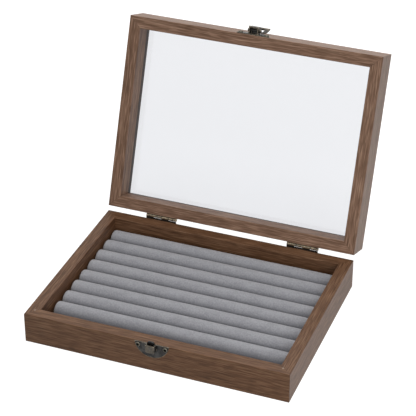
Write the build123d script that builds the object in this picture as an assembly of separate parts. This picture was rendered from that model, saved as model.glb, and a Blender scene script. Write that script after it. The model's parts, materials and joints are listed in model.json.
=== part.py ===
"""Ring display box: a mitred tray with nine padded rolls under a hinged glass lid.

Millimetres. +X is the width to the right, +Y goes to the rear and +Z is up. The origin is the
middle of the underside. The lid is modelled shut and then turned open on its hinge pins, and the
hasp is modelled hooked under the keeper and then folded back, so that both lie as they rest.
"""

from build123d import *
from math import asin, degrees
import os

# --- Case ---------------------------------------------------------------------------------
box_width = 200.0
box_depth = 150.0
base_height = 24.0
lid_height = 26.0
wall = 9.1
edge_round = 0.4
panel_thickness = 3.0
panel_seat = 5.0
glue_gap = 0.1

# --- Glass in the lid, heights from the lid's mating face -----------------------------------
glass_ledge = 15.5
glass_thickness = 2.0
groove_depth = 3.4
groove_clearance = 0.1
lip_wall = 7.5

# --- Padded rolls ---------------------------------------------------------------------------
roll_count = 9
board_thickness = 1.2
board_gap = 0.4
roll_crest = 16.9
roll_gap = 0.3
roll_end_gap = 1.4
roll_end_round = 1.6
cover_thickness = 0.8

# --- Hinges on the rear faces ---------------------------------------------------------------
hinge_inset_left = 44.4
hinge_inset_right = 40.6
hinge_width = 24.8
hinge_leaf_reach = 9.6
hinge_leaf_thickness = 0.6
knuckle_count = 4
knuckle_gap = 0.3
barrel_radius = 1.35
barrel_clearance = 0.1
pin_rise = 2.2
pin_radius = 0.5
pin_clearance = 0.05
pin_end_gap = 0.1
hinge_screw_spread = 15.0
hinge_screw_drop = 6.2
open_angle = 110.5

# --- Screws ---------------------------------------------------------------------------------
hinge_screw_head = 1.5
hinge_screw_head_height = 0.6
hinge_screw_shank = 0.7
hinge_screw_length = 5.0
latch_screw_head = 1.7
latch_screw_head_height = 0.9
latch_screw_shank = 0.8
latch_screw_length = 5.0
screw_clearance = 0.06
recess_width_share = 0.25
recess_span_share = 1.2
recess_depth_share = 0.6
head_round_share = 0.5

# --- Latch on the front faces ---------------------------------------------------------------
latch_x = -1.1
plate_radius = 12.9
plate_height = 11.6
plate_thickness = 0.8
plate_set_back = 0.2
latch_screw_spread = 20.6
latch_screw_inset = 2.3

nose_width = 7.2
nose_depth = 3.7
nose_bottom = -5.8
nose_top = 0.4
nose_sheet = 0.8
nose_round = 0.5
nose_chin_round = 1.5
nose_pocket = 4.0
tab_width = 5.6
tab_thickness = 1.1
tab_rise = 2.6
tab_gap = 0.4
tab_round = 2.0

hood_width = 7.6
hood_depth = 5.5
hood_bottom = 0.8
hood_height = 5.9
hood_sheet = 0.7
hood_round = 0.5

hasp_pin_out = 3.3
hasp_pin_height = 4.0
hasp_pin_radius = 0.7
hasp_pin_head = 1.0
hasp_pin_head_height = 0.2
hasp_knuckle_radius = 1.3
hasp_side_gap = 0.2
hasp_leg = 1.0
hasp_flare = 3.8
hasp_window_flare = 0.6
hasp_length = 11.8
hasp_bow = 2.3
hasp_thickness = 0.9
hasp_bar = 1.3
hasp_plate_gap = 0.5

# --- Worked out from the sizes above --------------------------------------------------------
half_width = box_width / 2
half_depth = box_depth / 2
inner_width = box_width - 2 * wall
inner_depth = box_depth - 2 * wall
rear = half_depth
front = -half_depth
pin_y = rear + barrel_radius + barrel_clearance
pin_z = base_height + pin_rise
plate_front = front - plate_thickness
roll_floor = panel_thickness + board_thickness
roll_pitch = inner_depth / roll_count
roll_radius = (roll_pitch - roll_gap) / 2
roll_centre_z = roll_crest - roll_radius
roll_length = inner_width - 2 * roll_end_gap
hasp_pin_y = front - hasp_pin_out
hasp_pin_z = base_height + hasp_pin_height
hasp_inside = hood_width + 2 * hasp_side_gap
hasp_outside = hasp_inside + 2 * hasp_leg
hasp_stand_off = hasp_pin_out - plate_thickness - hasp_bow - hasp_thickness / 2
hasp_lean = degrees(asin((hasp_plate_gap - hasp_stand_off) / (hasp_length / 2)))
hasp_fold = 180 - hasp_lean
hinge_places = {"left": hinge_inset_left - half_width, "right": half_width - hinge_inset_right}
hinge_screw = (hinge_screw_head, hinge_screw_head_height, hinge_screw_shank, hinge_screw_length)
latch_screw = (latch_screw_head, latch_screw_head_height, latch_screw_shank, latch_screw_length)

os.makedirs("parts", exist_ok=True)


def block(x0, x1, y0, y1, z0, z1):
    """A box between two corners."""
    solid = Box(x1 - x0, y1 - y0, z1 - z0)
    return Pos((x0 + x1) / 2, (y0 + y1) / 2, (z0 + z1) / 2) * solid


def rod(radius, length, x, y, z):
    """A round bar along X about a middle point."""
    return Pos(x, y, z) * Rot(0, 90, 0) * Cylinder(radius, length)


def bore(radius, length, x, y, z):
    """A round bar along Y about a middle point."""
    return Pos(x, y, z) * Rot(90, 0, 0) * Cylinder(radius, length)


def outline(*points):
    """A flat face inside a closed run of straight lines."""
    return make_face(Polyline(*points, close=True))


def opened(solid):
    """Turns a piece of the shut lid to where it rests, open on its stop."""
    return solid.rotate(Axis((0, pin_y, pin_z), (1, 0, 0)), -open_angle)


def folded(solid):
    """Turns the hooked hasp back over its plate."""
    return solid.rotate(Axis((0, hasp_pin_y, hasp_pin_z), (1, 0, 0)), -hasp_fold)


def save(solid, name):
    export_step(solid, f"parts/{name}.step")


# --- Rails ----------------------------------------------------------------------------------
def base_section():
    """A base rail from its outer face inwards, rebated below for the bottom panel."""
    step = wall - panel_seat
    face = outline(
        (0, 0),
        (step, 0),
        (step, panel_thickness),
        (wall, panel_thickness),
        (wall, base_height),
        (0, base_height),
    )
    corners = [v for v in face.vertices() if v.Y == base_height or v.X == 0]
    return fillet(corners, edge_round)


def lid_section():
    """A lid rail from its outer face inwards, grooved for the glass above its ledge."""
    groove = wall - groove_depth
    groove_top = glass_ledge + glass_thickness + 2 * groove_clearance
    face = outline(
        (0, base_height),
        (wall, base_height),
        (wall, base_height + glass_ledge),
        (groove, base_height + glass_ledge),
        (groove, base_height + groove_top),
        (lip_wall, base_height + groove_top),
        (lip_wall, base_height + lid_height),
        (0, base_height + lid_height),
    )
    corners = [v for v in face.vertices() if v.X == 0 or v.Y == base_height]
    corners += [v for v in face.vertices() if v.Y == base_height + lid_height and v.X > 0]
    return fillet(corners, edge_round)


def rail(section, length, reach, turn):
    """One rail, made at the front with 45 degree mitred ends and turned to its side."""
    bar = extrude(Plane.YZ * Pos(-reach, 0) * section, length / 2, both=True)
    end = length / 2
    plan = outline((-end, -reach), (end, -reach), (end - wall, wall - reach), (wall - end, wall - reach))
    wedge = extrude(plan, base_height + lid_height)
    return Rot(0, 0, turn) * (bar & wedge)


sides = {
    "front": (box_width, half_depth, 0),
    "rear": (box_width, half_depth, 180),
    "left": (box_depth, half_width, -90),
    "right": (box_depth, half_width, 90),
}
base_rails = {side: rail(base_section(), *place) for side, place in sides.items()}
lid_rails = {side: rail(lid_section(), *place) for side, place in sides.items()}


# --- Screws ---------------------------------------------------------------------------------
def screw(size, x, y, z, turn):
    """A pan head screw along Y with a cross recess: its head stands out from y, turned about X."""
    head_radius, head_height, shank, length = size
    head = Cylinder(head_radius, head_height, align=(Align.CENTER, Align.CENTER, Align.MIN))
    rim = head.edges().filter_by(GeomType.CIRCLE).sort_by(Axis.Z)[-1]
    head = fillet(rim, head_height * head_round_share)
    stem = Cylinder(shank, length, align=(Align.CENTER, Align.CENTER, Align.MAX))
    arm = head_radius * recess_span_share / 2
    slot = head_radius * recess_width_share / 2
    floor = head_height * (1 - recess_depth_share)
    cross = block(-arm, arm, -slot, slot, floor, 2 * head_height)
    body = head + stem - cross - Rot(0, 0, 90) * cross
    return Pos(x, y, z) * Rot(turn, 0, 0) * body


def pilot(size, x, y, z):
    """The hole that a screw's shank goes into, cut to both sides of y."""
    shank, length = size[2:]
    return bore(shank + screw_clearance, 2 * (length + screw_clearance), x, y, z)


# --- Hinges ---------------------------------------------------------------------------------
knuckle_length = (hinge_width - (knuckle_count - 1) * knuckle_gap) / knuckle_count


def knuckles(x_mid, first, radius, extra):
    """Every second knuckle of a hinge's barrel, from the first one."""
    pitch = knuckle_length + knuckle_gap
    start = x_mid - hinge_width / 2 + knuckle_length / 2
    rods = [
        rod(radius, knuckle_length + 2 * extra, start + i * pitch, pin_y, pin_z)
        for i in range(first, knuckle_count, 2)
    ]
    return Part() + rods


def hinge_screw_places(x_mid, side):
    z = pin_z + side * hinge_screw_drop
    return [(x_mid + step * hinge_screw_spread / 2, z) for step in (-1, 1)]


def hinge_leaf(x_mid, side, first):
    """A leaf flat on the rear face, above the pin (side 1) or below it (side -1)."""
    tip = pin_z + side * hinge_leaf_reach
    x0 = x_mid - hinge_width / 2
    back = rear + hinge_leaf_thickness
    leaf = block(x0, x0 + hinge_width, rear, back, min(pin_z, tip), max(pin_z, tip))
    leaf -= knuckles(x_mid, 1 - first, barrel_radius + knuckle_gap, knuckle_gap)
    leaf += knuckles(x_mid, first, barrel_radius, 0)
    leaf -= rod(pin_radius + pin_clearance, 2 * hinge_width, x_mid, pin_y, pin_z)
    for x, z in hinge_screw_places(x_mid, side):
        leaf -= pilot(hinge_screw, x, back, z)
    return leaf


for name, x_mid in hinge_places.items():
    leaf_back = rear + hinge_leaf_thickness
    low = hinge_screw_places(x_mid, -1)
    high = hinge_screw_places(x_mid, 1)
    for x, z in low:
        base_rails["rear"] -= pilot(hinge_screw, x, leaf_back, z)
    for x, z in high:
        lid_rails["rear"] -= pilot(hinge_screw, x, leaf_back, z)
    save(hinge_leaf(x_mid, -1, 0), f"hinge_{name}_base_leaf")
    save(opened(hinge_leaf(x_mid, 1, 1)), f"hinge_{name}_lid_leaf")
    pin = rod(pin_radius, hinge_width - 2 * pin_end_gap, x_mid, pin_y, pin_z)
    save(pin, f"hinge_{name}_pin")
    low_screws = Compound([screw(hinge_screw, x, leaf_back, z, -90) for x, z in low])
    high_screws = Compound([screw(hinge_screw, x, leaf_back, z, -90) for x, z in high])
    save(low_screws, f"hinge_{name}_base_screws")
    save(opened(high_screws), f"hinge_{name}_lid_screws")


# --- Latch ----------------------------------------------------------------------------------
def latch_screw_places(side):
    z = base_height + side * (plate_set_back + latch_screw_inset)
    return [(latch_x + step * latch_screw_spread / 2, z) for step in (-1, 1)]


def half_moon(side):
    """A half-moon plate on the front face, straight edge at the joint, curved away from it."""
    edge = base_height + side * plate_set_back
    centre = edge + side * (plate_height - plate_radius)
    disc = bore(plate_radius, plate_thickness, latch_x, front - plate_thickness / 2, centre)
    far = edge + side * 2 * plate_radius
    x0, x1 = latch_x - plate_radius, latch_x + plate_radius
    plate = disc & block(x0, x1, plate_front, front, min(edge, far), max(edge, far))
    for x, z in latch_screw_places(side):
        plate -= pilot(latch_screw, x, plate_front, z)
    return plate


def across(half, y0, y1, z0, z1):
    """A box centred on the latch."""
    return block(latch_x - half, latch_x + half, y0, y1, z0, z1)


def keeper():
    """The lower plate with its hollow nose and the tab that rises into the hood."""
    half = nose_width / 2
    nose_front = plate_front - nose_depth
    low = base_height + nose_bottom
    high = base_height + nose_top
    floor = high - nose_pocket
    tab_back = plate_front - tab_gap
    tab_front = tab_back - tab_thickness
    nose = across(half, nose_front, plate_front, low, high)
    nose = fillet(nose.edges().filter_by(Axis.Y).sort_by(Axis.Z)[:2], nose_chin_round)
    nose = fillet(nose.edges().filter_by(Axis.Z).sort_by(Axis.Y)[:2], nose_round)
    nose -= across(half - nose_sheet, nose_front + nose_sheet, tab_front, floor, high)
    nose -= across(half, tab_back, plate_front, floor, high)
    tab = across(tab_width / 2, tab_front, tab_back, low, base_height + tab_rise)
    tab = fillet(tab.edges().filter_by(Axis.Y).sort_by(Axis.Z)[-2:], tab_round)
    return half_moon(-1) + nose + tab


def hood():
    """The upper plate with its hollow hood, open towards the keeper and bored for the pin."""
    half = hood_width / 2
    hood_front = plate_front - hood_depth
    low = base_height + hood_bottom
    high = low + hood_height
    shell = across(half, hood_front, plate_front, low, high)
    shell = fillet(shell.edges().filter_by(Axis.Z).sort_by(Axis.Y)[:2], hood_round)
    shell -= across(half - hood_sheet, hood_front + hood_sheet, plate_front, low, high - hood_sheet)
    shell -= rod(hasp_pin_radius + pin_clearance, 2 * hood_width, latch_x, hasp_pin_y, hasp_pin_z)
    return half_moon(1) + shell


def hasp():
    """The hooked hasp: a bowed strip with a window, widening to its cross bar, on two knuckles."""
    half_chord = hasp_length / 2
    bow_radius = (half_chord**2 + hasp_bow**2) / (2 * hasp_bow)
    spread = degrees(asin(half_chord / bow_radius))
    centre = (hasp_pin_y + bow_radius - hasp_bow, hasp_pin_z - half_chord)
    outer = CenterArc(centre, bow_radius + hasp_thickness / 2, 180 - spread, 2 * spread)
    inner = CenterArc(centre, bow_radius - hasp_thickness / 2, 180 - spread, 2 * spread)
    ring = make_face([outer, inner, Line(outer @ 0, inner @ 0), Line(outer @ 1, inner @ 1)])
    strip = Pos(latch_x, 0, 0) * extrude(Plane.YZ * ring, hasp_outside, both=True)
    top, tip = hasp_pin_z + hasp_knuckle_radius, hasp_pin_z - hasp_length - hasp_thickness
    root_half = hasp_outside / 2
    tip_half = root_half + hasp_flare
    root = hasp_pin_z - hasp_knuckle_radius
    shape = outline(
        (-root_half, top),
        (root_half, top),
        (root_half, root),
        (tip_half, tip),
        (-tip_half, tip),
        (-root_half, root),
    )
    window = hasp_inside / 2
    bar_top = hasp_pin_z - hasp_length + hasp_bar
    hole = outline(
        (-window, top + hasp_knuckle_radius),
        (window, top + hasp_knuckle_radius),
        (window, root),
        (window + hasp_window_flare, bar_top),
        (-window - hasp_window_flare, bar_top),
        (-window, root),
    )
    cutter = Plane.XZ * (shape - hole)
    body = strip & Pos(latch_x, hasp_pin_y, 0) * extrude(cutter, 2 * bow_radius, both=True)
    for step in (-1, 1):
        x = latch_x + step * (window + hasp_leg / 2)
        body += rod(hasp_knuckle_radius, hasp_leg, x, hasp_pin_y, hasp_pin_z)
    return body - rod(hasp_pin_radius + pin_clearance, 2 * hasp_outside, latch_x, hasp_pin_y, hasp_pin_z)


def hasp_pin():
    """The pin through the hood, with a low head outside each knuckle."""
    reach = hasp_outside / 2 + pin_clearance
    pin = rod(hasp_pin_radius, 2 * reach, latch_x, hasp_pin_y, hasp_pin_z)
    for step in (-1, 1):
        x = latch_x + step * (reach + hasp_pin_head_height / 2)
        pin += rod(hasp_pin_head, hasp_pin_head_height, x, hasp_pin_y, hasp_pin_z)
    return pin


for side, rails in ((-1, base_rails), (1, lid_rails)):
    for x, z in latch_screw_places(side):
        rails["front"] -= pilot(latch_screw, x, plate_front, z)
keeper_screws = [screw(latch_screw, x, plate_front, z, 90) for x, z in latch_screw_places(-1)]
hood_screws = [screw(latch_screw, x, plate_front, z, 90) for x, z in latch_screw_places(1)]
save(keeper(), "keeper_plate")
save(Compound(keeper_screws), "keeper_screws")
save(opened(hood()), "hasp_plate")
save(opened(Compound(hood_screws)), "hasp_plate_screws")
save(opened(hasp_pin()), "hasp_pin")
save(opened(folded(hasp())), "hasp")


# --- Case pieces, saved once all their holes are cut ----------------------------------------
for side, solid in base_rails.items():
    save(solid, f"base_{side}_rail")
for side, solid in lid_rails.items():
    save(opened(solid), f"lid_{side}_rail")

panel_x = inner_width / 2 + panel_seat - glue_gap
panel_y = inner_depth / 2 + panel_seat - glue_gap
save(block(-panel_x, panel_x, -panel_y, panel_y, 0, panel_thickness), "base_bottom_panel")

glass_x = inner_width / 2 + groove_depth - 2 * groove_clearance
glass_y = inner_depth / 2 + groove_depth - 2 * groove_clearance
glass_z = base_height + glass_ledge + groove_clearance
glass = block(-glass_x, glass_x, -glass_y, glass_y, glass_z, glass_z + glass_thickness)
save(opened(glass), "lid_glass")


# --- Roll insert ----------------------------------------------------------------------------
board_x = inner_width / 2 - board_gap
board_y = inner_depth / 2 - board_gap
save(block(-board_x, board_x, -board_y, board_y, panel_thickness, roll_floor), "roll_board")


def roll_form(radius, length, end_round, y):
    """A round roll along X with eased ends, flattened where it is glued to the board."""
    form = Cylinder(radius, length)
    form = fillet(form.edges().filter_by(GeomType.CIRCLE), end_round)
    form = Pos(0, y, roll_centre_z) * Rot(0, 90, 0) * form
    return form & block(-half_width, half_width, -half_depth, half_depth, roll_floor, base_height)


for number in range(roll_count):
    y = inner_depth / 2 - roll_pitch * (number + 0.5)
    cover = roll_form(roll_radius, roll_length, roll_end_round, y)
    core_end = roll_end_round - cover_thickness
    core = roll_form(roll_radius - cover_thickness, roll_length - 2 * cover_thickness, core_end, y)
    save(cover - core, f"roll_cover_{number + 1}")
    save(core, f"roll_core_{number + 1}")
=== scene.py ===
"""Ring display box: a mitred walnut-look tray of padded grey rolls under a hinged glass lid.

Metres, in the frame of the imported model: +X is the width to the right, +Y goes to the rear and +Z
is up. The lid rests open on its hinges, so its materials are laid out as if it were shut.
"""

import json
import math

import bmesh
import bpy
from mathutils import Matrix, Vector, noise


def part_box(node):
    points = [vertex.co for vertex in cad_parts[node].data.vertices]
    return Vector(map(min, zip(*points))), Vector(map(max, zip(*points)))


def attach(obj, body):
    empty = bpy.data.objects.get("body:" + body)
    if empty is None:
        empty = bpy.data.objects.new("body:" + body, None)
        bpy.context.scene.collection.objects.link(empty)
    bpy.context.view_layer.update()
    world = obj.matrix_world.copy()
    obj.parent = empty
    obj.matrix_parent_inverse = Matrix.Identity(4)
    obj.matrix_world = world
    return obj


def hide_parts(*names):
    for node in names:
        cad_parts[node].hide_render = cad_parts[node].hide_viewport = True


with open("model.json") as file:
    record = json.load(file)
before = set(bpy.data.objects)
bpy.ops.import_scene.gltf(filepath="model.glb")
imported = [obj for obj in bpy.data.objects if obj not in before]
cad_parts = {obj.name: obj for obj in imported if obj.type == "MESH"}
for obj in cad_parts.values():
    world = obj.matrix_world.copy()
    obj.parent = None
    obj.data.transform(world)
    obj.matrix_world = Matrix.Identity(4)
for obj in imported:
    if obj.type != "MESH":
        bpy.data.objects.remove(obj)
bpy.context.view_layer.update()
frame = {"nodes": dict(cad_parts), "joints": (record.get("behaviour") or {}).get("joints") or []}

bl_info = {
    "name": "Ring display box",
    "version": (1, 0),
    "blender": (4, 5, 0),
    "location": "3D View > Sidebar > Ring box",
    "description": "Dresses a ring display box: laminate, velvet, glass and antiqued hardware",
    "category": "Object",
}

MM = 0.001

# --- Sizes that come with the frame ----------------------------------------------------------
joints = {joint["name"]: joint for joint in frame["joints"]}
lid_pivot = Vector(joints["lid_hinge"]["pos_m"])
open_angle = math.radians(joints["lid_hinge"]["range_deg"][1])
case_half_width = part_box("base_front_rail")[1].x
case_half_depth = -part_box("base_front_rail")[0].y
case_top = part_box("base_front_rail")[1].z
roll_count = sum(1 for node in frame["nodes"] if node.startswith("roll_cover_"))

# --- Places on the shut box that the frame doesn't name --------------------------------------
lip_wall = 7.5 * MM
glass_back = case_top + 17.7 * MM
latch_plate = case_half_depth + 0.8 * MM
tab_top = case_top + 0.45 * MM
chips = (Vector((-94.6, -67.9, 24)) * MM, Vector((93.4, -69.5, 24)) * MM)

# --- Where the painted shade behind the glass starts outside its wall, and how far finishes run together - ---
lip_margin = 0.15 * MM
lip_blend = 0.05 * MM
glass_blend = 0.3 * MM
proud_blend = 0.8 * MM
barrel_blend = 0.15 * MM
tab_blend = 0.2 * MM

# --- Chips in the foil: two shares of a chip's size, and how much bare board shows -----------
chip_ragged = 1.2
chip_edge = 1.3
chip_bare = 0.35

# --- Painted shade in a screw head's sunken centre: where it starts and is full black, as shares of the radius ------
recess_start = 0.8
recess_full = 0.6

# --- Rolls: their mesh -----------------------------------------------------------------------
roll_segments = 40
roll_loops = 62
end_segments = 5
cap_inset = 1.4 * MM
same_x = 1e-7

# --- Rolls: how uneven the foam is, as a slow sway and a quick pinch -------------------------
sway_length = 45 * MM
sway_row = 3 * MM
sway_rise = 0.12 * MM
pinch_length = 9 * MM
pinch_rise = 0.06 * MM
pinch_shift = 0.05 * MM

# --- Rolls: how the covers swell; the pressures take turns from roll to roll -----------------
cloth_scale = 25
cloth_frames = 20
cloth_pressures = (4.0, 4.3, 4.6)
glued_height = 0.3 * MM
swell_limit = 0.6 * MM
swell_spare = 0.12 * MM

# --- Camera, worked out from the corners of the box in the photograph ------------------------
camera_place = Vector((0.3677, -0.9327, 0.7154))
camera_heading = 20.875
camera_tilt = 31.9
camera_lens = 144.06
camera_sensor = 36.0

# --- Soft boxes: name, place, width and watts ------------------------------------------------
lamps = (
    ("softbox_top", (0.0, 0.0, 1.6), 1.2, 11),
    ("softbox_right", (0.8, -1.1, 1.0), 1.2, 9.5),
    ("softbox_front", (0.35, -0.42, 0.1), 0.3, 0.71),
    ("softbox_rear", (0.0, 1.1, 1.2), 1.2, 8),
)
lamp_aim = Vector((0, 0, 0.05))

# --- Floor and room: the floor's colour as a light and as seen, and how much each glows ------
floor_radius = 4.0
floor_segments = 96
floor_drop = 0.2 * MM
floor_lit = "#909090"
floor_seen = "#A0A0A0"
floor_glow = 0.92
room_glow = 0.08


def colour(code):
    """An sRGB hex colour as linear red, green and blue."""
    parts = [int(code[i : i + 2], 16) / 255 for i in (1, 3, 5)]
    return tuple(c / 12.92 if c <= 0.04045 else ((c + 0.055) / 1.055) ** 2.4 for c in parts)


def tint(code, name, description):
    """A colour setting."""
    return bpy.props.FloatVectorProperty(
        name=name, description=description, default=colour(code), size=3, min=0, max=1, subtype="COLOR"
    )


def length(default, name, description):
    """A length setting, kept in metres."""
    return bpy.props.FloatProperty(
        name=name, description=description, default=default * MM, min=0, unit="LENGTH", precision=5
    )


def share(default, name, description):
    """A plain factor."""
    return bpy.props.FloatProperty(name=name, description=description, default=default, min=0, max=2)


# --- Settings --------------------------------------------------------------------------------
class RINGBOX_PG_laminate(bpy.types.PropertyGroup):
    """The walnut-printed foil on the rails."""

    dark: tint("#442A14", "Dark streak", "Darkest lines of the printed grain")
    middle: tint("#6D4C34", "Ground", "Main colour of the printed grain")
    light: tint("#8F6D52", "Light streak", "Palest lines of the printed grain")
    seam: tint("#2E2118", "Mitre seam", "Glue line where two rails meet")
    chip: tint("#C9B8A6", "Chip", "Bare board where the foil is chipped at a mitre")
    # Painted shade: the near-black brown painted on the lid's inner faces behind the glass.
    lip_painted_shade: tint("#2A1D14", "Lip", "Stained board behind the glass, which the foil doesn't reach")
    base_tone: share(0.93, "Tray tone", "Strength of the print on the tray's rails")
    # The lid's print is lighter partly as its own tone and partly as painted light on its rims, and greyer
    # as a painted sheen.
    lid_tone_and_painted_light: share(1.68, "Lid tone", "Strength of the print on the lid's rails")
    lid_painted_sheen: share(0.28, "Lid grey", "How much greyer the lid's foil is than the tray's")
    streak_width: length(0.8, "Streak width", "Width of the short streaks")
    streak_length: length(14, "Streak length", "Length of the short streaks")
    line_width: length(1.0, "Line width", "Width of the long lines of the grain")
    line_length: length(36, "Line length", "Length of the long lines of the grain")
    band_width: length(7, "Band width", "Width of the wide bands of tone")
    band_length: length(160, "Band length", "Length of the wide bands of tone")
    pore_width: length(0.7, "Pore width", "Width of the short dark pores")
    pore_length: length(9, "Pore length", "Length of the short dark pores")
    seam_width: length(0.15, "Seam width", "Width of the glue line at each side of a mitre")
    chip_size: length(1.5, "Chip size", "Reach of a chip from its middle")
    relief: length(0.05, "Relief", "Depth of the embossed pores")
    line_share: share(0.35, "Line share", "How much of the grain is long lines")
    band_share: share(0.1, "Band share", "How much of the grain is wide bands")
    pore_share: share(0.5, "Pore share", "How dark the pores are")
    board: tint("#7A6048", "Board", "Main colour of the bottom panel")
    board_dark: tint("#5C4634", "Board specks", "Darker pulp in the bottom panel")
    speck: length(1.2, "Speck", "Size of the bottom panel's specks")


class RINGBOX_PG_velvet(bpy.types.PropertyGroup):
    """The short-pile cloth on the rolls."""

    light: tint("#ADADB2", "Brushed up", "Pile that stands towards the light")
    dark: tint("#97979C", "Brushed down", "Pile that lies away from the light")
    nap_width: length(5, "Nap width", "Size of the patches where the pile lies one way")
    fibre: length(1.1, "Fibre", "Size of the tufts of pile")
    pile: length(0.12, "Pile", "Height of the tufts of pile")
    # Painted shade: the colour painted into the grooves between the rolls.
    shaded: tint("#68686D", "Crushed", "Pile pressed down where two rolls meet")
    painted_shade_from: length(7, "Crushed from", "Depth under the crest by which the pile is crushed")
    sheen: share(0.6, "Sheen", "How much the pile lights up at a low angle")
    slack: length(0.3, "Slack", "How far the cover stands inside its full shape before it swells")
    end_round: length(2.2, "End round", "Rounding at a roll's ends")
    tuck: length(1.2, "Tuck", "How far the front roll is pressed down behind its rail")


class RINGBOX_PG_bronze(bpy.types.PropertyGroup):
    """The antiqued finish of the hinges and the latch."""

    patina: tint("#424140", "Patina", "Dark oxidised ground")
    # The pale metal is partly rubbed brass and partly a painted highlight on edges, knuckles and raised
    # faces.
    rubbed: tint("#AC9C83", "Rubbed edge", "Bright metal where the patina is relieved")
    ring: tint("#67645A", "Screw ring", "Rim of a screw head, half rubbed bright")
    # Also painted black as shade in the screw heads' sunken centres.
    black_patina_and_shade: tint("#0B0B0C", "Hollow", "Soot-black patina left in recesses")
    edge_width: length(0.4, "Rubbed width", "How far the bright metal reaches in from an edge")
    mottle: length(1.6, "Mottle", "Size of the patches in the patina")
    cloud: length(2.4, "Cloud", "Size of the blacker clouds in the patina")
    barrel: length(1.45, "Barrel", "Distance from the hinge pin up to which the knuckles are rubbed")
    knuckle_wear_and_highlight: share(0.85, "Knuckle wear", "How far the knuckles are rubbed bright")
    proud: length(2.6, "Proud height", "Height above the plate from which the metal is rubbed bright")


class RINGBOX_PG_glass(bpy.types.PropertyGroup):
    """The pane."""

    body: tint("#DBDCDF", "Glass", "What a pane's thickness takes from white light")


# --- Making materials ------------------------------------------------------------------------
def add_node(tree, kind, inputs=None, out=None, **settings):
    """Adds a shader node with its settings and links, and gives the node or the output named."""
    node = tree.nodes.new("ShaderNode" + kind)
    for key, value in settings.items():
        setattr(node, key, value)
    for key, value in (inputs or {}).items():
        if isinstance(value, bpy.types.NodeSocket):
            tree.links.new(value, node.inputs[key])
        else:
            node.inputs[key].default_value = value
    return node if out is None else node.outputs[out]


def new_material(name):
    """An empty node material and its tree."""
    material = bpy.data.materials.new(name)
    material.use_nodes = True
    material.node_tree.nodes.clear()
    return material, material.node_tree


def dress(node, material):
    """Gives a carried-over node its material."""
    piece = frame["nodes"][node]
    piece.data.materials.clear()
    piece.data.materials.append(material)


def rgba(values):
    """A colour with full alpha, as a colour socket takes it."""
    return (*values, 1.0)


def shut_place(tree, of_lid):
    """Object coordinates, for a piece of the lid turned back to where it lies when shut."""
    place = add_node(tree, "TexCoord", None, "Object")
    if not of_lid:
        return place
    turn = Matrix.Rotation(open_angle, 3, "X")
    inputs = {"Vector": place, "Location": lid_pivot - turn @ lid_pivot, "Rotation": (open_angle, 0, 0)}
    return add_node(tree, "Mapping", inputs, 0)


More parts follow.
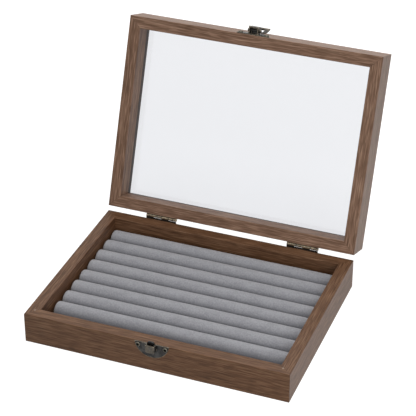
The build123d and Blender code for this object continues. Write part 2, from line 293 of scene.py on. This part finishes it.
def walnut_foil(name, of_lid, across):
    """PVC foil printed with walnut and wrapped round fibreboard by heat: short streaks along the
    rail, embossed pores, and a satin surface that is brown from above and greys at a low angle."""
    look = bpy.context.scene.ringbox_laminate
    material, tree = new_material(name)
    shut = shut_place(tree, of_lid)
    place = shut
    if across:
        place = add_node(tree, "Mapping", {"Vector": shut, "Rotation": (0, 0, math.pi / 2)}, 0)

    # Streaks, lines, bands and pores are one noise drawn out along the rail to four real sizes.
    sizes = {
        "streak": (look.streak_length, look.streak_width, 1.0, 3.1),
        "line": (look.line_length, look.line_width, 2.0, 7.7),
        "band": (look.band_length, look.band_width, 1.0, 5.3),
        "pore": (look.pore_length, look.pore_width, 0.0, 1.3),
    }
    prints = {}
    for key, (long, wide, detail, offset) in sizes.items():
        scale = {"Vector": place, "Scale": (1 / long, 1 / wide, 1 / wide), "Location": (offset,) * 3}
        drawn = add_node(tree, "Mapping", scale, 0)
        prints[key] = add_node(tree, "TexNoise", {"Vector": drawn, "Scale": 1.0, "Detail": detail}, "Fac")
    grain = {"Factor": look.line_share, 2: prints["streak"], 3: prints["line"]}
    grain = add_node(tree, "Mix", grain, 0, data_type="FLOAT")
    grain = {"Factor": look.band_share, 2: grain, 3: prints["band"]}
    grain = add_node(tree, "Mix", grain, 0, data_type="FLOAT")
    # Painted light: the lid's copy of the print is made lighter, partly its own tone and partly the light
    # its rims catch, and greyer as a painted sheen.
    tone = look.lid_tone_and_painted_light if of_lid else look.base_tone
    grey = look.lid_painted_sheen if of_lid else 0
    dark, ground, light = (
        [tone * (c + grey * (sum(shade) / 3 - c)) for c in shade]
        for shade in (look.dark, look.middle, look.light)
    )
    ramp = add_node(tree, "ValToRGB", {"Fac": grain})
    stops = ramp.color_ramp.elements
    stops[0].position, stops[0].color = 0.28, rgba(dark)
    stops[1].position, stops[1].color = 0.72, rgba(light)
    stops.new(0.5).color = rgba(ground)
    pitted = {"Value": prints["pore"], "From Min": 0.54, "From Max": 0.64, "To Max": look.pore_share}
    pitted = add_node(tree, "MapRange", pitted, 0)
    final = {"Factor": pitted, "A": ramp.outputs["Color"], "B": rgba(dark)}
    final = add_node(tree, "Mix", final, "Result", data_type="RGBA")

    # A glue line shows along each mitre, where the rails' two arms are equally far from the corner.
    xyz = add_node(tree, "SeparateXYZ", {0: shut})
    from_left = add_node(tree, "Math", {0: xyz.outputs["X"]}, 0, operation="ABSOLUTE")
    from_front = add_node(tree, "Math", {0: xyz.outputs["Y"]}, 0, operation="ABSOLUTE")
    skew = add_node(tree, "Math", {0: from_left, 1: from_front}, 0, operation="SUBTRACT")
    corner = case_half_width - case_half_depth
    away = add_node(tree, "Math", {0: skew, 1: corner}, 0, operation="SUBTRACT")
    away = add_node(tree, "Math", {0: away}, 0, operation="ABSOLUTE")
    seam = {"Value": away, "From Min": look.seam_width * math.sqrt(2), "From Max": 0, "To Max": 0.7}
    seam = {"Factor": add_node(tree, "MapRange", seam, 0), "A": final, "B": rgba(look.seam)}
    final = add_node(tree, "Mix", seam, "Result", data_type="RGBA")
    if of_lid:
        # Painted shade: behind the glass the inner faces of the lid's rails are painted near-black brown,
        # as the shade that falls there.
        bounds = {
            "beside": (from_left, case_half_width - lip_wall + lip_margin, -lip_blend),
            "before": (from_front, case_half_depth - lip_wall + lip_margin, -lip_blend),
            "behind": (xyz.outputs["Z"], glass_back - glass_blend, glass_blend),
        }
        within = {}
        for key, (value, start, run) in bounds.items():
            edge = {"Value": value, "From Min": start, "From Max": start + run}
            within[key] = add_node(tree, "MapRange", edge, 0)
        lip_painted_shade = {0: within["beside"], 1: within["before"]}
        lip_painted_shade = add_node(tree, "Math", lip_painted_shade, 0, operation="MINIMUM")
        lip_painted_shade = add_node(tree, "Math", {0: lip_painted_shade, 1: within["behind"]}, 0, operation="MULTIPLY")
        lip_painted_shade = {"Factor": lip_painted_shade, "A": final, "B": rgba(look.lip_painted_shade)}
        final = add_node(tree, "Mix", lip_painted_shade, "Result", data_type="RGBA")
    else:
        rough = {"Vector": shut, "Scale": 1 / look.chip_size, "Detail": 3.0}
        rough = add_node(tree, "TexNoise", rough, "Fac")
        for spot in chips:
            gap = add_node(tree, "VectorMath", {0: shut, 1: spot}, "Value", operation="DISTANCE")
            ragged = {0: rough, 1: look.chip_size * chip_ragged, 2: gap}
            ragged = add_node(tree, "Math", ragged, 0, operation="MULTIPLY_ADD")
            bare = {"Value": ragged, "From Min": look.chip_size * chip_edge, "From Max": look.chip_size}
            bare = add_node(tree, "MapRange", {**bare, "To Max": chip_bare}, 0)
            bare = {"Factor": bare, "A": final, "B": rgba(look.chip)}
            final = add_node(tree, "Mix", bare, "Result", data_type="RGBA")
    relief = add_node(tree, "Bump", {"Height": grain, "Strength": 0.4, "Distance": look.relief}, 0)
    foil = {"Base Color": final, "Roughness": 0.48, "Specular IOR Level": 0.26, "Normal": relief}
    add_node(tree, "OutputMaterial", {"Surface": add_node(tree, "BsdfPrincipled", foil, 0)})
    return material


def hardboard(name):
    """Thin fibreboard of the bottom panel: brown, pressed smooth, with the specks of its pulp."""
    look = bpy.context.scene.ringbox_laminate
    material, tree = new_material(name)
    place = add_node(tree, "TexCoord", None, "Object")
    specks = add_node(tree, "TexNoise", {"Vector": place, "Scale": 1 / look.speck, "Detail": 4.0}, "Fac")
    ramp = add_node(tree, "ValToRGB", {"Fac": specks})
    stops = ramp.color_ramp.elements
    stops[0].position, stops[0].color = 0.3, rgba(look.board_dark)
    stops[1].position, stops[1].color = 0.7, rgba(look.board)
    relief = add_node(tree, "Bump", {"Height": specks, "Strength": 0.3, "Distance": look.relief}, 0)
    board = {"Base Color": ramp.outputs["Color"], "Roughness": 0.65, "Normal": relief}
    add_node(tree, "OutputMaterial", {"Surface": add_node(tree, "BsdfPrincipled", board, 0)})
    return material


def velvet(name):
    """Short-pile polyester velvet over foam: mottled where the pile is brushed, darkest seen along
    the pile and brighter where the roll turns away, and painted darker towards the grooves as shade."""
    look = bpy.context.scene.ringbox_velvet
    material, tree = new_material(name)
    place = add_node(tree, "TexCoord", None, "Object")
    patch = add_node(tree, "Mapping", {"Vector": place, "Scale": (0.5, 1, 1)}, 0)
    nap = add_node(tree, "TexNoise", {"Vector": patch, "Scale": 1 / look.nap_width, "Detail": 3.0}, "Fac")
    tuft = add_node(tree, "TexNoise", {"Vector": place, "Scale": 1 / look.fibre, "Detail": 3.0}, "Fac")
    both = add_node(tree, "Mix", {"Factor": 0.7, 2: nap, 3: tuft}, 0, data_type="FLOAT")
    ramp = add_node(tree, "ValToRGB", {"Fac": both})
    stops = ramp.color_ramp.elements
    stops[0].position, stops[0].color = 0.38, rgba(look.dark)
    stops[1].position, stops[1].color = 0.62, rgba(look.light)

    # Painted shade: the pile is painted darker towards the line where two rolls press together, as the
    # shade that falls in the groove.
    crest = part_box("roll_cover_1")[1].z
    height = add_node(tree, "SeparateXYZ", {0: place}, "Z")
    pressed = {"Value": height, "From Min": crest, "From Max": crest - look.painted_shade_from, "To Max": 0.95}
    pressed = add_node(tree, "MapRange", pressed, 0)
    shade = {"Factor": pressed, "A": ramp.outputs["Color"], "B": rgba(look.shaded)}
    shade = add_node(tree, "Mix", shade, "Result", data_type="RGBA")
    pile = add_node(tree, "Bump", {"Height": tuft, "Strength": 0.6, "Distance": look.pile}, 0)
    cloth = {
        "Base Color": shade,
        "Roughness": 1.0,
        "Specular IOR Level": 0.1,
        "Sheen Weight": look.sheen,
        "Sheen Roughness": 0.55,
        "Normal": pile,
    }
    add_node(tree, "OutputMaterial", {"Surface": add_node(tree, "BsdfPrincipled", cloth, 0)})
    return material


def antique_bronze(name, of_lid=False, screws=None, proud_from=None, tab_from=None, knuckles=False):
    """Brass-plated steel, oxidised slate-black and rubbed back: black in the hollows, pale at the
    edges and wherever a hand or the other leaf wears it. The pale edges, knuckles and raised faces are
    partly wear and partly painted highlights, and the black in the screw heads is painted shade."""
    look = bpy.context.scene.ringbox_bronze
    material, tree = new_material(name)
    shut = shut_place(tree, of_lid)
    xyz = add_node(tree, "SeparateXYZ", {0: shut})
    face = add_node(tree, "NewGeometry", None, "Normal")
    rounded = add_node(tree, "Bevel", {"Radius": look.edge_width}, 0, samples=6)
    facing = add_node(tree, "VectorMath", {0: face, 1: rounded}, "Value", operation="DOT_PRODUCT")
    # Partly wear, partly painted highlight: edges found by the bevel are painted pale metal, as light
    # catches them.
    worn_and_highlit = {"Value": facing, "From Min": 0.99, "From Max": 0.9, "To Max": 0.9}
    worn_and_highlit = add_node(tree, "MapRange", worn_and_highlit, 0)
    mottle = add_node(tree, "TexNoise", {"Vector": shut, "Scale": 1 / look.mottle, "Detail": 3.0}, "Fac")
    # Raised faces are painted paler: partly wear, partly painted highlight.
    if proud_from is not None:
        proud = {"Value": xyz.outputs["Y"], "From Min": proud_from, "From Max": proud_from - proud_blend}
        proud = add_node(tree, "MapRange", {**proud, "To Max": 0.15}, 0)
        worn_and_highlit = add_node(tree, "Math", {0: worn_and_highlit, 1: proud}, 0, operation="MAXIMUM")
    if knuckles:
        # The barrel stands proud of both leaves, so its knuckles are rubbed all round; their pale paint
        # also stands in for the knuckles' highlights.
        arm = add_node(tree, "VectorMath", {0: shut, 1: lid_pivot}, 0, operation="SUBTRACT")
        arm = add_node(tree, "VectorMath", {0: arm, 1: (0, 1, 1)}, 0, operation="MULTIPLY")
        arm = add_node(tree, "VectorMath", {0: arm}, "Value", operation="LENGTH")
        barrel = {"Value": arm, "From Min": look.barrel + barrel_blend, "From Max": look.barrel}
        barrel = add_node(tree, "MapRange", {**barrel, "To Max": look.knuckle_wear_and_highlight}, 0)
        worn_and_highlit = add_node(tree, "Math", {0: worn_and_highlit, 1: barrel}, 0, operation="MAXIMUM")
    patchy = add_node(tree, "MapRange", {"Value": mottle, "From Min": 0.3, "From Max": 0.6}, 0)
    worn_and_highlit = add_node(tree, "Math", {0: worn_and_highlit, 1: patchy}, 0, operation="MULTIPLY")
    if tab_from is not None:
        below = {"Value": xyz.outputs["Z"], "From Min": tab_from + tab_blend, "From Max": tab_from}
        below = add_node(tree, "MapRange", below, 0)
        worn_and_highlit = add_node(tree, "Math", {0: worn_and_highlit, 1: below}, 0, operation="MULTIPLY")
    # The patina itself is cloudy: blacker where the oxide is thick.
    cloud = {"Vector": shut, "Scale": 1 / look.cloud, "Detail": 2.0}
    cloud = {"Value": add_node(tree, "TexNoise", cloud, "Fac"), "From Min": 0.4, "From Max": 0.65}
    cloud = add_node(tree, "MapRange", {**cloud, "To Max": 0.55}, 0)
    ground = {"Factor": cloud, "A": rgba(look.patina), "B": rgba(look.black_patina_and_shade)}
    ground = add_node(tree, "Mix", ground, "Result", data_type="RGBA")
    metal = {"Factor": worn_and_highlit, "A": ground, "B": rgba(look.rubbed)}
    metal = add_node(tree, "Mix", metal, "Result", data_type="RGBA")
    if screws is not None:
        # A screw head is rubbed pale round the rim, and its middle is painted black as shade in its sunken
        # centre.
        low, high, radius = screws
        spread = (high.x - low.x) / 2 - radius
        side = {0: xyz.outputs["X"], 1: (low.x + high.x) / 2}
        side = add_node(tree, "Math", side, 0, operation="SUBTRACT")
        side = add_node(tree, "Math", {0: side}, 0, operation="ABSOLUTE")
        side = add_node(tree, "Math", {0: side, 1: spread}, 0, operation="SUBTRACT")
        rise = {0: xyz.outputs["Z"], 1: (low.z + high.z) / 2}
        rise = add_node(tree, "Math", rise, 0, operation="SUBTRACT")
        flat = add_node(tree, "CombineXYZ", {"X": side, "Y": rise}, 0)
        reach = add_node(tree, "VectorMath", {0: flat}, "Value", operation="LENGTH")
        recess_shade = {"Value": reach, "From Min": radius * recess_start, "From Max": radius * recess_full}
        recess_shade = add_node(tree, "MapRange", recess_shade, 0)
        metal = {"Factor": recess_shade, "A": rgba(look.ring), "B": rgba(look.black_patina_and_shade)}
        metal = add_node(tree, "Mix", metal, "Result", data_type="RGBA")
    bronze = {"Base Color": metal, "Metallic": 1.0, "Roughness": 0.4}
    add_node(tree, "OutputMaterial", {"Surface": add_node(tree, "BsdfPrincipled", bronze, 0)})
    return material


def clear_glass(name):
    """Float glass: smooth and clear, slightly dimmer than the air beside it. Lamps shine through it
    on to the rolls."""
    material, tree = new_material(name)
    body = rgba(bpy.context.scene.ringbox_glass.body)
    glass = {"Base Color": body, "Roughness": 0.0, "IOR": 1.5, "Transmission Weight": 1.0}
    glass = add_node(tree, "BsdfPrincipled", glass, 0)
    passing = add_node(tree, "BsdfTransparent", {"Color": body}, 0)
    lamp = add_node(tree, "LightPath", None, "Is Shadow Ray")
    pane = add_node(tree, "MixShader", {0: lamp, 1: glass, 2: passing}, 0)
    add_node(tree, "OutputMaterial", {"Surface": pane})
    return material


# --- Pieces ----------------------------------------------------------------------------------
def mesh_object(name, bm):
    """A new object from a bmesh, at the origin."""
    mesh = bpy.data.meshes.new(name)
    bm.to_mesh(mesh)
    bm.free()
    piece = bpy.data.objects.new(name, mesh)
    bpy.context.scene.collection.objects.link(piece)
    return piece


class RINGBOX_OT_rails(bpy.types.Operator):
    """Wrap the eight rails in walnut foil"""

    bl_idname = "ringbox.rails"
    bl_label = "Rails"

    def execute(self, context):
        for part, of_lid in (("base", False), ("lid", True)):
            for across, sides in ((False, ("front", "rear")), (True, ("left", "right"))):
                way = "across" if across else "along"
                material = walnut_foil(f"walnut_foil_{part}_{way}", of_lid, across)
                for side in sides:
                    dress(f"{part}_{side}_rail", material)
        return {"FINISHED"}


class RINGBOX_OT_bottom(bpy.types.Operator):
    """Finish the bottom panel"""

    bl_idname = "ringbox.bottom"
    bl_label = "Bottom panel"

    def execute(self, context):
        dress("base_bottom_panel", hardboard("pressed_hardboard"))
        return {"FINISHED"}


class RINGBOX_OT_glass(bpy.types.Operator):
    """Set the glass pane"""

    bl_idname = "ringbox.glass"
    bl_label = "Glass"

    def execute(self, context):
        dress("lid_glass", clear_glass("float_glass"))
        return {"FINISHED"}


class RINGBOX_OT_rolls(bpy.types.Operator):
    """Pad the rolls and cover them in velvet"""

    bl_idname = "ringbox.rolls"
    bl_label = "Velvet rolls"

    def execute(self, context):
        cloth = velvet("short_pile_velvet")
        dress("roll_board", cloth)
        front_roll = min(range(1, roll_count + 1), key=lambda number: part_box(f"roll_cover_{number}")[0].y)
        rolls = []
        for number in range(1, roll_count + 1):
            low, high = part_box(f"roll_cover_{number}")
            if number == front_roll:
                high.z -= context.scene.ringbox_velvet.tuck
            rolls.append((padded_roll(f"roll_{number}", low, high), low, high))
        swell(rolls)
        for number, (roll, _, _) in enumerate(rolls, 1):
            finer = roll.modifiers.new("finer", "SUBSURF")
            finer.levels = finer.render_levels = 1
            roll.data.materials.append(cloth)
            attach(roll, "tray")
            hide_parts(f"roll_cover_{number}", f"roll_core_{number}")
        return {"FINISHED"}


def padded_roll(name, low, high):
    """A foam roll along X, flat where it is glued down, with soft ends and a slack cover."""
    look = bpy.context.scene.ringbox_velvet
    radius = (high.y - low.y) / 2 - look.slack
    centre = Vector(((low.x + high.x) / 2, (low.y + high.y) / 2, high.z - look.slack - radius))
    reach = high.x - low.x
    bm = bmesh.new()
    turn = Matrix.Translation(centre) @ Matrix.Rotation(math.pi / 2, 4, "Y")
    bmesh.ops.create_cone(
        bm, cap_ends=True, segments=roll_segments, radius1=radius, radius2=radius, depth=reach, matrix=turn
    )
    rims = [edge for edge in bm.edges if abs(edge.verts[0].co.x - edge.verts[1].co.x) < same_x]
    bmesh.ops.bevel(
        bm,
        geom=rims,
        offset=look.end_round,
        affect="EDGES",
        segments=end_segments,
        profile=0.5,
        material=-1,
    )
    caps = [face for face in bm.faces if len(face.verts) > 4]
    bmesh.ops.inset_region(bm, faces=caps, thickness=cap_inset)
    caps = [face for face in bm.faces if len(face.verts) > 4]
    bmesh.ops.poke(bm, faces=caps)
    straight = reach - 2 * look.end_round
    for step in range(1, roll_loops):
        at = centre.x - straight / 2 + step * straight / roll_loops
        bmesh.ops.bisect_plane(
            bm, geom=bm.verts[:] + bm.edges[:] + bm.faces[:], plane_co=(at, 0, 0), plane_no=(1, 0, 0)
        )
    for vert in bm.verts:
        vert.co.z = max(vert.co.z, low.z)
        if vert.co.z > low.z:
            # Foam strips are never quite straight or even.
            sway = noise.noise(Vector((vert.co.x / sway_length, centre.y / sway_row, 0)))
            pinch = noise.noise(Vector([part / pinch_length for part in vert.co]))
            vert.co.z += sway_rise * sway + pinch_rise * pinch
            vert.co.y += pinch_shift * pinch
    piece = mesh_object(name, bm)
    for face in piece.data.polygons:
        face.use_smooth = True
    return piece


def swell(rolls):
    """Lets the slack covers swell over their foam, as cloth under pressure glued along the base.

    The rolls are simulated at cloth_scale times their size, where cloth settings made for furniture
    hold, and each point is then kept near where it started.
    """
    scene = bpy.context.scene
    starts = []
    for number, (piece, low, high) in enumerate(rolls):
        middle = (low + high) / 2
        verts = piece.data.vertices
        starts.append([vert.co.copy() for vert in verts])
        glued = piece.vertex_groups.new(name="glued")
        glued.add([vert.index for vert in verts if vert.co.z < low.z + glued_height], 1.0, "REPLACE")
        for vert in verts:
            vert.co = (vert.co - middle) * cloth_scale
        cloth = piece.modifiers.new("cover", "CLOTH")
        cloth.settings.quality = 5
        cloth.settings.tension_stiffness = 12
        cloth.settings.compression_stiffness = 12
        cloth.settings.shear_stiffness = 4
        cloth.settings.bending_stiffness = 2
        cloth.settings.use_pressure = True
        cloth.settings.uniform_pressure_force = cloth_pressures[number % len(cloth_pressures)]
        cloth.settings.vertex_group_mass = "glued"
        cloth.settings.effector_weights.gravity = 0
        cloth.collision_settings.use_collision = False
        cloth.point_cache.frame_end = cloth_frames
    for step in range(1, cloth_frames + 1):
        scene.frame_set(step)
    depsgraph = bpy.context.evaluated_depsgraph_get()
    for (piece, low, high), before in zip(rolls, starts):
        middle = (low + high) / 2
        settled = piece.evaluated_get(depsgraph).to_mesh()
        after = [vert.co / cloth_scale + middle for vert in settled.vertices]
        piece.modifiers.clear()
        piece.vertex_groups.clear()
        for vert, start, end in zip(piece.data.vertices, before, after):
            shift = end - start
            if shift.length > swell_limit:
                shift *= swell_limit / shift.length
            place = start + shift
            place.x = min(max(place.x, low.x), high.x)
            place.y = min(max(place.y, low.y - swell_spare), high.y + swell_spare)
            place.z = min(max(place.z, low.z), high.z + swell_spare)
            vert.co = place
        piece.data.update()
    scene.frame_set(1)


class RINGBOX_OT_hinges(bpy.types.Operator):
    """Finish the two hinges"""

    bl_idname = "ringbox.hinges"
    bl_label = "Hinges"

    def execute(self, context):
        tray = antique_bronze("antique_bronze_hinge_tray", knuckles=True)
        lid = antique_bronze("antique_bronze_hinge_lid", of_lid=True, knuckles=True)
        for side in ("left", "right"):
            for part in ("base_leaf", "pin", "base_screws"):
                dress(f"hinge_{side}_{part}", tray)
            for part in ("lid_leaf", "lid_screws"):
                dress(f"hinge_{side}_{part}", lid)
        return {"FINISHED"}


class RINGBOX_OT_latch(bpy.types.Operator):
    """Finish the latch"""

    bl_idname = "ringbox.latch"
    bl_label = "Latch"

    def execute(self, context):
        proud = -latch_plate - context.scene.ringbox_bronze.proud
        low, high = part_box("keeper_screws")
        radius = (high.z - low.z) / 2
        lid_low, lid_high = low.copy(), high.copy()
        lid_low.z, lid_high.z = 2 * case_top - high.z, 2 * case_top - low.z
        keeper = antique_bronze("antique_bronze_keeper", proud_from=proud, tab_from=tab_top)
        keeper_screws = antique_bronze("antique_bronze_keeper_screws", screws=(low, high, radius))
        hood = antique_bronze("antique_bronze_hood", of_lid=True, proud_from=proud)
        hood_screws = antique_bronze(
            "antique_bronze_hood_screws", of_lid=True, screws=(lid_low, lid_high, radius)
        )
        dress("keeper_plate", keeper)
        dress("keeper_screws", keeper_screws)
        dress("hasp_plate_screws", hood_screws)
        for part in ("hasp_plate", "hasp_pin", "hasp"):
            dress(part, hood)
        return {"FINISHED"}


class RINGBOX_OT_stage(bpy.types.Operator):
    """Set up the floor, the light and the camera"""

    bl_idname = "ringbox.stage"
    bl_label = "Stage"

    def execute(self, context):
        make_camera()
        make_floor()
        make_world()
        make_lamps()
        context.scene.view_settings.view_transform = "Standard"
        return {"FINISHED"}


def make_camera():
    """A camera that sees the box as the photograph does."""
    data = bpy.data.cameras.new("photo_camera")
    data.lens = camera_lens
    data.sensor_width = camera_sensor
    camera = bpy.data.objects.new("photo_camera", data)
    camera.location = camera_place
    camera.rotation_euler = (math.radians(90 - camera_tilt), 0, math.radians(camera_heading))
    bpy.context.scene.collection.objects.link(camera)
    bpy.context.scene.camera = camera


def seen_directly(tree):
    """1 for rays that show the backdrop: from the camera, in gloss and through glass."""
    path = add_node(tree, "LightPath")
    seen = path.outputs["Is Camera Ray"]
    for kind in ("Is Glossy Ray", "Is Transmission Ray"):
        seen = add_node(tree, "Math", {0: seen, 1: path.outputs[kind]}, 0, operation="MAXIMUM")
    return seen


def make_floor():
    """White paper under the box: it glows where it is seen, and as a light it is a plain grey."""
    bm = bmesh.new()
    bmesh.ops.create_circle(bm, cap_ends=True, segments=floor_segments, radius=floor_radius)
    bmesh.ops.translate(bm, verts=bm.verts, vec=(0, 0, -floor_drop))
    floor = mesh_object("floor", bm)
    material, tree = new_material("white_paper")
    lit = add_node(tree, "BsdfDiffuse", {"Color": rgba(colour(floor_lit))}, 0)
    shade = add_node(tree, "BsdfDiffuse", {"Color": rgba(colour(floor_seen))}, 0)
    glow = add_node(tree, "Emission", {"Color": (1, 1, 1, 1), "Strength": floor_glow}, 0)
    white = add_node(tree, "AddShader", {0: shade, 1: glow}, 0)
    surface = add_node(tree, "MixShader", {0: seen_directly(tree), 1: lit, 2: white}, 0)
    add_node(tree, "OutputMaterial", {"Surface": surface})
    floor.data.materials.append(material)


def make_world():
    """A white room, which is white where it is seen and dim as a light."""
    world = bpy.data.worlds.new("studio")
    bpy.context.scene.world = world
    world.use_nodes = True
    tree = world.node_tree
    tree.nodes.clear()
    soft = add_node(tree, "Background", {"Color": (1, 1, 1, 1), "Strength": room_glow}, 0)
    white = add_node(tree, "Background", {"Color": (1, 1, 1, 1), "Strength": 1.0}, 0)
    sky = add_node(tree, "MixShader", {0: seen_directly(tree), 1: soft, 2: white}, 0)
    add_node(tree, "OutputWorld", {"Surface": sky})


def make_lamps():
    """Soft boxes overhead, to the right and behind, and a small weak one low and near in front, which
    lights the right of the front more than the left."""
    # The pane mirrors the white room alone: a soft box would show in it as a hard-edged white patch.
    lit = bpy.data.collections.new("all_but_the_pane")
    lit.objects.link(frame["nodes"]["lid_glass"])
    lit.collection_objects[0].light_linking.link_state = "EXCLUDE"
    for name, place, width, watts in lamps:
        data = bpy.data.lights.new(name, "AREA")
        data.shape = "DISK"
        data.size = width
        data.energy = watts
        lamp = bpy.data.objects.new(name, data)
        lamp.location = place
        lamp.light_linking.receiver_collection = lit
        lamp.rotation_euler = (lamp_aim - lamp.location).to_track_quat("-Z", "Y").to_euler()
        bpy.context.scene.collection.objects.link(lamp)


# --- Add-on ----------------------------------------------------------------------------------
steps = (
    RINGBOX_OT_rails,
    RINGBOX_OT_bottom,
    RINGBOX_OT_glass,
    RINGBOX_OT_rolls,
    RINGBOX_OT_hinges,
    RINGBOX_OT_latch,
    RINGBOX_OT_stage,
)
settings = {
    "ringbox_laminate": RINGBOX_PG_laminate,
    "ringbox_velvet": RINGBOX_PG_velvet,
    "ringbox_bronze": RINGBOX_PG_bronze,
    "ringbox_glass": RINGBOX_PG_glass,
}


class RINGBOX_PT_sidebar(bpy.types.Panel):
    """The steps that dress the ring display box"""

    bl_idname = "RINGBOX_PT_sidebar"
    bl_label = "Ring display box"
    bl_space_type = "VIEW_3D"
    bl_region_type = "UI"
    bl_category = "Ring box"

    def draw(self, context):
        for step in steps:
            self.layout.operator(step.bl_idname)
        for name in settings:
            group = getattr(context.scene, name)
            for prop in group.bl_rna.properties.keys():
                if prop not in ("rna_type", "name"):
                    self.layout.prop(group, prop)


def register():
    for group in settings.values():
        bpy.utils.register_class(group)
    for step in steps:
        bpy.utils.register_class(step)
    bpy.utils.register_class(RINGBOX_PT_sidebar)
    for name, group in settings.items():
        setattr(bpy.types.Scene, name, bpy.props.PointerProperty(type=group))


def unregister():
    for name in settings:
        delattr(bpy.types.Scene, name)
    bpy.utils.unregister_class(RINGBOX_PT_sidebar)
    for step in reversed(steps):
        bpy.utils.unregister_class(step)
    for group in settings.values():
        bpy.utils.unregister_class(group)


def main():
    register()
    bpy.ops.ringbox.stage()
    bpy.ops.ringbox.rails()
    bpy.ops.ringbox.bottom()
    bpy.ops.ringbox.glass()
    bpy.ops.ringbox.rolls()
    bpy.ops.ringbox.hinges()
    bpy.ops.ringbox.latch()


if __name__ == "__main__":
    main()
